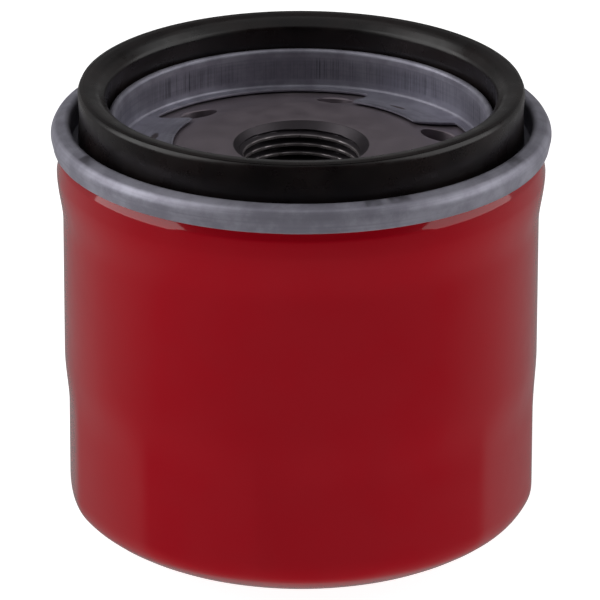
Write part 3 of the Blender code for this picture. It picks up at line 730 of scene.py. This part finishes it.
def flute(r, z, turn):
    """Presses the wrench flutes into both faces of the wall."""
    half = 180 / FLUTES
    from_ridge = np.abs((turn - FLUTE_PHASE + half) % (2 * half) - half) / half
    rounded = (np.hypot(from_ridge, FLUTE_RIDGE) - FLUTE_RIDGE) / (math.hypot(1, FLUTE_RIDGE) - FLUTE_RIDGE)
    hollow = 1 - (1 - rounded) ** 2
    fade = smooth_step(*FLUTE_FOOT, z) * (1 - smooth_step(*FLUTE_HEAD, z))
    wall = smooth_step(CAN_FLAT_RADIUS, CAN_FLAT_RADIUS + 2, r)
    return r - wall * fade * (FLUTE_NECKING + FLUTE_DEPTH * hollow), z, turn


def can():
    outside = can_outside()
    middle = [(0, CAN_GAUGE / 2)]
    for i, (r, z) in enumerate(outside[1:], 1):
        before = unit(outside[i - 1], (r, z))
        after = unit((r, z), outside[i + 1]) if i + 1 < len(outside) else (0, 1)
        normal = unit((0, 0), (-before[1] - after[1], before[0] + after[0]))
        middle.append((r + normal[0] * CAN_GAUGE / 2, z + normal[1] * CAN_GAUGE / 2))
    section = sheet_section(middle + can_hook(), CAN_GAUGE)
    shape = turned("can_fine", section, CAN_COLUMNS, flute)
    settle(shape, "can", "shell", RED_PAINT)


def soft_floor(value):
    """The value where it is well above 0, easing to 0 below."""
    return DISH_EASE * np.log1p(np.exp(np.clip(value / DISH_EASE, -40, 40)))


def dish(r):
    """Height of the plate's top above its rim."""
    slope = DISH_RISE / (DISH_FOOT_RADIUS - DISH_FLAT_RADIUS)
    line = (DISH_FOOT_RADIUS - r) * slope
    low = soft_floor(line)
    return DISH_RISE - soft_floor(DISH_RISE - low)


def weld_share(x, y):
    """1 at the middle of each weld nugget, falling to 0 at its edge."""
    share = 0
    for i in range(LOBES):
        angle = math.radians(LOBE_ANGLE + 360 / LOBES * i + WELD_OFFSET)
        across = (x * math.cos(angle) + y * math.sin(angle) - WELD_RADIUS) / WELD_SIZE[1]
        along = (y * math.cos(angle) - x * math.sin(angle)) / WELD_SIZE[0]
        share = share + np.exp(-(across ** 2 + along ** 2) * 1.2)
    return share


def from_lobe(turn):
    """Degrees from the middle of the nearest lobe."""
    spacing = 360 / LOBES
    return (turn - LOBE_ANGLE + spacing / 2) % spacing - spacing / 2


def weld_tint(x, y, z):
    """The burnt patches, on the lobes only."""
    return weld_share(x, y) * (z < PLATE_TOP + 3) * (np.hypot(x, y) < LOBE_ROOT)


def lobe_edge(turn):
    """Radius of the sheet's inner edge: the flange's, or further in at the three lobes."""
    step = 0.25
    reach = 24                      # steps to each side that are averaged
    fine = np.arange(0, 360, step)
    edge = np.where(np.abs(from_lobe(fine)) < LOBE_HALF_ANGLE, LOBE_RADIUS, FLANGE_RADIUS)
    kernel = np.exp(-(np.arange(-reach, reach + 1) * step / LOBE_EASE) ** 2 / 2)
    around = np.concatenate([edge[-reach:], edge, edge[:reach]])
    soft = np.convolve(around, kernel / kernel.sum(), "valid")
    return np.interp(turn % 360, np.append(fine, 360), np.append(soft, soft[0]))


def lobed(r, z, turn):
    """Draws the flange's inner edge in to the flared lobes, which follow the dish, and dents the welds."""
    edge = lobe_edge(turn)
    inner = r < LOBE_ROOT
    share = np.clip((LOBE_ROOT - r) / (LOBE_ROOT - FLANGE_RADIUS), 0, 2)
    drawn = LOBE_ROOT - (LOBE_ROOT - edge) * share
    new_r = np.where(inner, drawn, r)
    lift = np.where(inner, dish(new_r), 0)
    flare = LOBE_FLARE * smooth_step(FLANGE_RADIUS - 1, LOBE_RADIUS, new_r)
    turn = turn + np.where(inner, from_lobe(turn) * flare, 0)
    x = new_r * np.cos(np.radians(turn))
    y = new_r * np.sin(np.radians(turn))
    dent = np.where(inner, WELD_DEPTH * weld_share(x, y), 0)
    return new_r, z + lift - dent, turn


def seaming_lid():
    half = LID_GAUGE / 2
    flange = PLATE_TOP + LOBE_GAP + half
    skirt = SKIRT_RADIUS + half
    groove = GROOVE_INNER_RADIUS - half
    floor = GROOVE_FLOOR + half
    chuck = CHUCK_WALL_RADIUS - half
    wall = SEAM_WALL_RADIUS - half
    hook = LID_HOOK_RADIUS + half
    fold = (groove - skirt) / 2
    rim = arc((skirt + fold, RIM_TOP - half - fold), fold, 180, 0, 12)
    under_fold = (wall - hook) / 2
    under = arc((hook + under_fold, SEAM_BOTTOM + half + under_fold), under_fold, 0, -180, 12)
    tongue = [(r, flange) for r in np.linspace(FLANGE_RADIUS, LOBE_ROOT, 22)]
    inner = spaced(open_path([(*tongue[-1], 0), (skirt, flange, FLANGE_BEND), (*rim[0], 0)], 8), 0.6)
    widest = SEAM_TOP_RADIUS - half + SEAM_SIDE_ROOM
    outer = open_path([(*rim[-1], 0), (groove, floor, GROOVE_BEND), (chuck, floor, GROOVE_BEND),
                       (chuck, SEAM_TOP - half, SEAM_INNER_BEND),
                       (SEAM_EDGE[0], SEAM_EDGE[1] - half, SEAM_OUTER_BEND),
                       (widest, SEAM_WIDEST, SEAM_SIDE_BEND), (*under[0], 0)], 8)
    hook_end = (hook, SEAM_TOP - LID_HOOK_LENGTH)
    path = tongue + inner[1:-1] + rim + spaced(outer, 1.5)[1:-1] + under + [hook_end]
    shape = turned("lid_fine", sheet_section(path, LID_GAUGE, CUT_EDGE), LID_COLUMNS, lobed, 50)
    paint(shape, "weld", weld_tint)
    paint(shape, "drawn_wall", lambda x, y, z: drawn_wall(np.hypot(x, y), z))
    paint(shape, "scuff", scuffs)
    settle(shape, "seaming_lid", "shell", ZINC)


def drawn_wall(r, z):
    """The band of the inner wall that the punch has scratched."""
    start, end = DRAWN_BAND
    return (r < SKIRT_RADIUS + 0.1) * smooth_step(*start, z) * (1 - smooth_step(*end, z))


def scuffs(x, y, z):
    """Worn patches on the seam's top, where filters rub in the box."""
    turn = np.degrees(np.arctan2(y, x))
    r = np.hypot(x, y)
    start, end = SCUFF_BAND
    top = smooth_step(*start, r) * (1 - smooth_step(*end, r)) * (z > SCUFF_HEIGHT)
    share = 0
    for middle, half in SCUFFS:
        share = share + (1 - smooth_step(half * 0.7, half, np.abs(turn - middle)))
    return top * share


def seam_sealant():
    centre, fold = seam_fold()
    start, end = SEALANT_ARC
    inside = fold + CAN_GAUGE / 2 + SEALANT_ROOM
    outline = arc(centre, inside + SEALANT_WIDTH, start, end, 12) + arc(centre, inside, end, start, 12)
    shape = turned("sealant_fine", outline)
    settle(shape, "seam_sealant", "shell", SEALANT)


def gasket():
    radius, bottom, top = size_of("gasket")
    inner = radius - GASKET_WIDTH
    middle = (bottom + top) / 2
    outline = closed_path([
        (inner, bottom, GASKET_FOOT_BEND[0]), (inner + GASKET_WAIST[0], middle, 12.0),
        (inner, top - GASKET_INNER_DROP, 1.2), (inner + GASKET_SHOULDER[0], top - GASKET_SHOULDER[1], 2.0),
        (radius - GASKET_CREST, top + 0.02, 4.0), (radius, top - GASKET_OUTER_DROP, 1.1),
        (radius - GASKET_WAIST[1], middle, 16.0), (radius, bottom, GASKET_FOOT_BEND[1])], 10)
    shape = turned("gasket_fine", outline)
    settle(shape, "gasket", "shell", RUBBER)


# ------------ base plate

def thread(r, z, turn):
    """Cuts the thread and its two chamfers into the bore's rows."""
    _, bottom, top = size_of("base_plate")
    bore = r < THREAD_MINOR_RADIUS + 0.01
    phase = (z / THREAD_PITCH - turn / 360) % 1
    width = np.abs(phase - 0.5) * 2
    depth = np.clip((width - THREAD_CREST) / THREAD_FLANK, 0, 1)
    depth = smooth_step(0, 1, depth) * THREAD_ROUNDING + depth * (1 - THREAD_ROUNDING)
    grooved = THREAD_MINOR_RADIUS + (THREAD_MAJOR_RADIUS - THREAD_MINOR_RADIUS) * depth
    upper = THREAD_CHAMFER_RADIUS - (top - z)
    lower = THREAD_MAJOR_RADIUS - (z - bottom)
    return np.where(bore, np.maximum(grooved, np.maximum(upper, lower)), r), z, turn


def base_plate():
    _, neck_bottom, top = size_of("base_plate")
    bottom = PLATE_TOP - PLATE_THICKNESS
    dish_bottom = bottom + DISH_RISE
    upper = [(THREAD_CHAMFER_RADIUS + 0.12, top - 0.03), (THREAD_CHAMFER_RADIUS + 0.3, top)]
    for r in np.arange(12.0, 36.0, 0.75):
        upper.append((r, PLATE_TOP + float(dish(r))))
    lower = closed_path([(upper[-1][0], PLATE_TOP, 0), (PLATE_RADIUS, PLATE_TOP, PLATE_EDGE),
                         (PLATE_RADIUS, bottom, PLATE_EDGE), (DISH_FOOT_RADIUS, bottom, DISH_BEND),
                         (DISH_FLAT_RADIUS, dish_bottom, DISH_BEND), (NECK_RADIUS, dish_bottom, NECK_BEND),
                         (NECK_RADIUS, neck_bottom, NECK_EDGE),
                         (THREAD_MAJOR_RADIUS + 0.1, neck_bottom, 0)], 5)[1:]
    rows = round((top - neck_bottom) / THREAD_PITCH * THREAD_ROWS)
    bore = [(THREAD_MINOR_RADIUS, z) for z in np.linspace(neck_bottom + 0.02, top - 0.04, rows)]
    shape = turned("plate_fine", upper + lower + bore, PLATE_COLUMNS, thread, 28)
    cut(shape, inlet_cutters(), 28)
    paint(shape, "bare", bare_crests)
    # the bore attribute marks the threaded bore and its chamfer, where the material paints shade
    paint(shape, "bore", lambda x, y, z: np.hypot(x, y) < THREAD_CHAMFER_RADIUS + 0.05)
    settle(shape, "base_plate", "shell", PHOSPHATE)


def inlet_cutters():
    """Pegs square to the dish's slope, each flared at the top to leave a small lip."""
    height = 12                     # more than the plate's thickness each way
    outline = [(0, -height / 2), (INLET_RADIUS, -height / 2), (INLET_RADIUS, -INLET_LIP),
               (INLET_RADIUS + INLET_LIP, 0), (INLET_RADIUS + INLET_LIP + height / 2, height / 2),
               (0, height / 2)]
    pegs = []
    tilt = math.atan(DISH_RISE / (DISH_FOOT_RADIUS - DISH_FLAT_RADIUS))
    for i in range(INLETS):
        angle = math.radians(INLET_PHASE + 360 / INLETS * i)
        spot = Vector((INLET_CIRCLE_RADIUS * math.cos(angle), INLET_CIRCLE_RADIUS * math.sin(angle),
                       PLATE_TOP + float(dish(INLET_CIRCLE_RADIUS))))
        lean = Matrix.Rotation(angle, 4, "Z") @ Matrix.Rotation(tilt, 4, "Y")
        pegs.append(peg(outline, Matrix.Translation(spot) @ lean))
    return pegs


def bare_crests(x, y, z):
    """Where the tap has worn the crests of the thread bright."""
    r = np.hypot(x, y)
    return 1 - smooth_step(THREAD_MINOR_RADIUS, THREAD_MINOR_RADIUS + 0.2, r)


def anti_drain_valve():
    radius, foot, lip_top = size_of("anti_drain_valve")
    bore = NECK_RADIUS + 0.3
    collar_top = foot + COLLAR_HEIGHT
    outline = closed_path([
        (bore, collar_top, 0.3), (COLLAR_RADIUS, collar_top, 1.2), (SKIRT_MIDDLE, lip_top - 1.3, 6.0),
        (radius - 1.5, lip_top - 0.15, 1.0), (radius - 0.5, lip_top, 0.3), (radius, lip_top - 0.6, 0.25),
        (radius - 1.5, lip_top - 0.75, 1.0), (SKIRT_MIDDLE, lip_top - 2.4, 6.0),
        (COLLAR_RADIUS, collar_top - COLLAR_WALL, 1.0), (COLLAR_RADIUS, foot, 0.4), (bore, foot, 0.4)], 6)
    shape = turned("anti_drain_fine", spaced(outline, 1.5))
    settle(shape, "anti_drain_valve", "shell", NITRILE)


# ------------ element

def end_cap(node, outward):
    """Stamped cap with its rim turned towards the paper, and a pressed ring that stiffens it.

    outward is 1 for the upper cap, whose flat side faces up, and -1 for the lower one.
    """
    radius, low, high = size_of(node)
    half = CAP_GAUGE / 2
    flat = high - half if outward > 0 else low + half
    rim = flat - outward * (CAP_RIM_DEPTH - half)
    path = open_path([(CAP_BORES[outward], flat, 0), (radius - half, flat, CAP_RIM_BEND),
                      (radius - half, rim, 0)], 8)
    section = sheet_section(spaced(path, 0.5), CAP_GAUGE, CUT_EDGE)

    def pressed(r, z, turn):
        start, end = CAP_RING
        ring = smooth_step(*start, r) * (1 - smooth_step(*end, r))
        return r, z - outward * CAP_RING_DEPTH * ring, turn

    shape = turned(node + "_fine", section, SMALL_COLUMNS, pressed, 50)
    settle(shape, node, "element", STEEL)


def adhesive(node):
    """Cast ring with a slightly uneven edge, as it set in the cap."""
    radius, bottom, top = size_of(node)
    corners = ((ADHESIVE_BORE, bottom), (ADHESIVE_BORE, top), (radius, top), (radius, bottom))
    outline = closed_path([(*corner, ADHESIVE_EDGE) for corner in corners], 4)

    def uneven(r, z, turn):
        a = np.radians(turn)
        wave = 0.08 * np.sin(5 * a + 1) + 0.06 * np.sin(11 * a) + 0.05 * np.sin(23 * a + 2)
        side = np.clip((r - 23) / 10, -1, 1)
        return r + side * (wave - 0.15), z, turn

    shape = turned(node + "_fine", spaced(outline + outline[:1], 1.2)[:-1], SMALL_COLUMNS, uneven)
    settle(shape, node, "element", PLASTISOL)


def pleat_line():
    """Middle line of the folded paper, closed round the axis, its folds rounded."""
    tip, tip_half, tip_bend = PLEAT_TIP
    root, root_half, root_bend = PLEAT_ROOT
    tip -= PAPER / 2
    root += PAPER / 2
    pleat = ((root, -root_half, root_bend), (tip, -tip_half, tip_bend),
             (tip, tip_half, tip_bend), (root, root_half, root_bend))
    corners = []
    for i in range(PLEATS):
        for radius, half, bend_radius in pleat:
            angle = 2 * math.pi * i / PLEATS + half / radius
            corners.append((radius * math.cos(angle), radius * math.sin(angle), bend_radius))
    return closed_path(corners, 5)


def pleated_media():
    _, low, high = size_of("pleated_media")
    line = np.array(pleat_line())
    ahead = np.roll(line, -1, axis=0) - np.roll(line, 1, axis=0)
    ahead /= np.linalg.norm(ahead, axis=1)[:, None]
    normal = np.stack([ahead[:, 1], -ahead[:, 0]], axis=1)
    count = len(line)
    rows = 17
    vertices = []
    for z in np.linspace(low, high, rows):
        free = math.sin(math.pi * (z - low) / (high - low))
        curl = PLEAT_CURL * free * np.sin(np.arange(count) * 0.37 + z * 0.35)
        for side in (1, -1):
            spots = line + normal * (side * PAPER / 2 + curl)[:, None]
            vertices += [(x, y, z) for x, y in spots]
    faces = []
    for line_start in range(2 * (rows - 1)):
        faces += band(line_start * count, (line_start + 2) * count, count)
    for end in (0, 2 * (rows - 1)):
        faces += band(end * count, (end + 1) * count, count)
    shape = piece("media_fine", vertices, faces, 50)
    settle(shape, "pleated_media", "element", FILTER_PAPER)


def media_seam_clip():
    low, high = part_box("media_seam_clip")
    half = high.y / MM - CLIP_GAUGE / 2
    back = high.x / MM - CLIP_GAUGE / 2
    front = low.x / MM
    path = open_path([(front, -half, 0), (back, -half, CLIP_BEND), (back, half, CLIP_BEND),
                      (front, half, 0)], 6)
    outline = sheet_section(spaced(path, 0.6), CLIP_GAUGE, 0.08)
    shape = extruded("clip_fine", outline, low.z / MM, high.z / MM, 12)
    settle(shape, "media_seam_clip", "element", STEEL)


def centre_tube():
    radius, bottom, top = size_of("centre_tube")
    inner = radius - TUBE_GAUGE
    corners = ((inner, top), (radius, top), (radius, bottom), (inner, bottom))
    outline = closed_path([(*corner, CUT_EDGE) for corner in corners], 3)

    def lock_seam(r, z, turn):
        seam = smooth_step(*TUBE_SEAM_HALF_WIDTH, np.abs(turn - TUBE_SEAM_TURN))
        return r + TUBE_SEAM_RISE * seam, z, turn

    tube = turned("tube_fine", spaced(outline + outline[:1], 1.8)[:-1], SMALL_COLUMNS, lock_seam, 40)
    pegs = []
    for row in range(TUBE_HOLE_ROWS):
        z = bottom + (top - bottom) * (row + 0.5) / TUBE_HOLE_ROWS
        stagger = math.pi / TUBE_HOLES_ROUND * (row % 2) + math.radians(TUBE_HOLE_PHASE)
        for i in range(TUBE_HOLES_ROUND // 2):
            turn = stagger + 2 * math.pi * i / TUBE_HOLES_ROUND
            pegs.append(crosswise_peg(TUBE_HOLE_RADIUS, radius + 3, z, turn, 32))
    cut(tube, pegs, 40)
    settle(tube, "centre_tube", "element", STEEL)


# ------------ bypass valve and springs

def bypass_valve_seat():
    radius, bottom, top = size_of("bypass_valve_seat")
    flange_low, flange_top = SEAT_FLANGE
    sleeve_bore, sleeve = SEAT_SLEEVE
    outline = closed_path([
        (VALVE_BORE, top, 0.15), (SEAT_LIP, top, 0.3), (SEAT_LIP_FOOT, flange_top, 0.3),
        (radius, flange_top, 0.15), (radius, flange_low, 0.15), (sleeve, flange_low, 0.2),
        (sleeve, bottom, 0.15), (sleeve_bore, bottom, 0.15), (sleeve_bore, flange_low, 0.2),
        (VALVE_BORE, flange_low, 0.15)], 4)
    shape = turned("seat_fine", outline, SMALL_COLUMNS)
    settle(shape, "bypass_valve_seat", "element", STEEL)


def bypass_valve_cage():
    radius, bottom, top = size_of("bypass_valve_cage")
    half = CAGE_GAUGE / 2
    path = open_path([(radius, bottom + half, 0), (CAGE_RADIUS, bottom + half, CAGE_BENDS[0]),
                      (CAGE_RADIUS, top - half, CAGE_BENDS[1]), (CAGE_BORE, top - half, 0)], 8)
    cage = turned("cage_fine", sheet_section(spaced(path, 0.8), CAGE_GAUGE, 0.12), SMALL_COLUMNS, None, 40)
    middle = (bottom + half + top) / 2
    turns = (math.pi / 4, math.pi / 4 + math.pi / 2)
    cut(cage, [crosswise_peg(CAGE_WINDOW_RADIUS, CAGE_WINDOW_REACH, middle, turn, 48) for turn in turns], 40)
    settle(cage, "bypass_valve_cage", "element", STEEL)


def bypass_valve_seal():
    radius, bottom, top = size_of("bypass_valve_seal")
    outline = closed_path([(SEAL_BORE, top, 0.2), (radius, top, 0.3), (radius, bottom, 0.3),
                           (SEAL_BORE, bottom, 0.2)], 5)
    shape = turned("seal_fine", outline, SMALL_COLUMNS)
    settle(shape, "bypass_valve_seal", "bypass_valve", NITRILE)


def bypass_valve_poppet():
    radius, bottom, top = size_of("bypass_valve_poppet")
    disc_low = size_of("bypass_valve_seal")[2] + POPPET_GAP
    disc_top = disc_low + POPPET_DISC
    corners = [(0, top, 0), (POPPET_STEM, top, 0.4), (POPPET_STEM, disc_top, 0.6), (radius, disc_top, 0.4),
               (radius, disc_low, 0.2), (POPPET_BOSS, disc_low, 0.15), (POPPET_BOSS, bottom, 0.7),
               (0, bottom, 0)]
    shape = turned("poppet_fine", open_path(corners, 6), SMALL_COLUMNS)
    settle(shape, "bypass_valve_poppet", "bypass_valve", NYLON)


def spring(node, body, size):
    """A coil spring between its ground ends."""
    wire_radius, coil_radius, turns = size
    _, bottom, top = size_of(node)
    share = np.linspace(0, 1, turns * SPRING_STEPS + 1)
    angle = 2 * math.pi * turns * share
    height = bottom + wire_radius + (top - bottom - 2 * wire_radius) * smooth_step(0, 1, share)
    points = np.stack([coil_radius * np.cos(angle), coil_radius * np.sin(angle), height], axis=1)
    grind = wire_radius * SPRING_GRIND
    shape = wire(node + "_fine", points, wire_radius, 16, bottom + grind, top - grind)
    settle(shape, node, body, SPRING_STEEL)
    low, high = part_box(node)
    height = high.z - low.z
    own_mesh(shape)


# ------------ camera, floor and light

LIGHT_TARGET = (0, 0, 0.04)


def camera():
    data = bpy.data.cameras.new("camera")
    data.lens = 409.3
    data.sensor_width = 36
    data.clip_end = 20
    shape = bpy.data.objects.new("camera", data)
    place = Matrix.Translation((-0.00014, -1.01935, 0.45384))
    tilt = Matrix.Rotation(math.radians(67.873), 4, "X")
    roll = Matrix.Rotation(math.radians(0.11), 4, "Z")
    shape.matrix_world = place @ tilt @ roll
    bpy.context.scene.collection.objects.link(shape)
    bpy.context.scene.camera = shape


def floor():
    mesh = bpy.data.meshes.new("floor")
    work = bmesh.new()
    bmesh.ops.create_circle(work, cap_ends=True, segments=96, radius=4)
    work.to_mesh(mesh)
    work.free()
    shape = bpy.data.objects.new("floor", mesh)
    shape.location.z = -0.0002
    g = Graph("floor", Specular_IOR_Level=0.2, Emission_Color=(1, 1, 1, 1), Emission_Strength=0.95)
    g.colour(g.mix(g.noise(g.spot, 3, 2), (0.50, 0.50, 0.50), (0.54, 0.54, 0.54)))
    g.roughness(0.7)
    mesh.materials.append(g.material)
    bpy.context.scene.collection.objects.link(shape)
    shape.visible_glossy = False


def area(name, spot, size, power):
    """A soft box that faces the object."""
    data = bpy.data.lights.new(name, "AREA")
    data.shape = "RECTANGLE"
    data.size, data.size_y = size
    data.energy = power
    shape = bpy.data.objects.new(name, data)
    shape.location = spot
    shape.rotation_euler = (Vector(LIGHT_TARGET) - Vector(spot)).to_track_quat("-Z", "Y").to_euler()
    bpy.context.scene.collection.objects.link(shape)


def span(nodes, links, value, source, result):
    """Maps a value from one range to another."""
    node = nodes.new("ShaderNodeMapRange")
    node.inputs["From Min"].default_value, node.inputs["From Max"].default_value = source
    node.inputs["To Min"].default_value, node.inputs["To Max"].default_value = result
    links.new(value, node.inputs["Value"])
    return node.outputs["Result"]


def surroundings():
    """Bright room behind the object, dim in front and overhead, white to the camera itself."""
    world = bpy.data.worlds.new("room")
    bpy.context.scene.world = world
    world.use_nodes = True
    nodes = world.node_tree.nodes
    links = world.node_tree.links
    background = nodes["Background"]
    background.inputs["Color"].default_value = (1, 1, 1, 1)
    spot = nodes.new("ShaderNodeTexCoord")
    parts = nodes.new("ShaderNodeSeparateXYZ")
    links.new(spot.outputs["Generated"], parts.inputs[0])
    across = span(nodes, links, parts.outputs["Y"], (-0.30, 0.48), (0.006, 0.24))
    above = span(nodes, links, parts.outputs["Z"], (0.15, 0.55), (1.0, 0.30))
    glow = nodes.new("ShaderNodeMath")
    glow.operation = "MULTIPLY"
    links.new(across, glow.inputs[0])
    links.new(above, glow.inputs[1])
    path = nodes.new("ShaderNodeLightPath")
    strength = nodes.new("ShaderNodeMath")
    strength.operation = "MAXIMUM"
    links.new(path.outputs["Is Camera Ray"], strength.inputs[0])
    links.new(glow.outputs[0], strength.inputs[1])
    links.new(strength.outputs[0], background.inputs["Strength"])


def lights():
    area("left_box", (-1.35, -0.12, 0.80), (1.5, 1.6), 14)
    area("right_box", (1.35, -0.06, 0.75), (1.5, 1.6), 9.5)
    area("top_box", (0, 0.1, 1.6), (2.2, 2.2), 5)


# ------------ assembly

camera()
can()
seaming_lid()
seam_sealant()
gasket()
base_plate()
anti_drain_valve()
end_cap("upper_end_cap", 1)
end_cap("lower_end_cap", -1)
adhesive("upper_cap_adhesive")
adhesive("lower_cap_adhesive")
pleated_media()
media_seam_clip()
centre_tube()
bypass_valve_seat()
bypass_valve_cage()
bypass_valve_seal()
bypass_valve_poppet()
spring("support_spring", "shell", SUPPORT_SPRING)
spring("bypass_spring", "element", BYPASS_SPRING)
floor()
surroundings()
lights()
bpy.context.scene.view_settings.view_transform = "Standard"
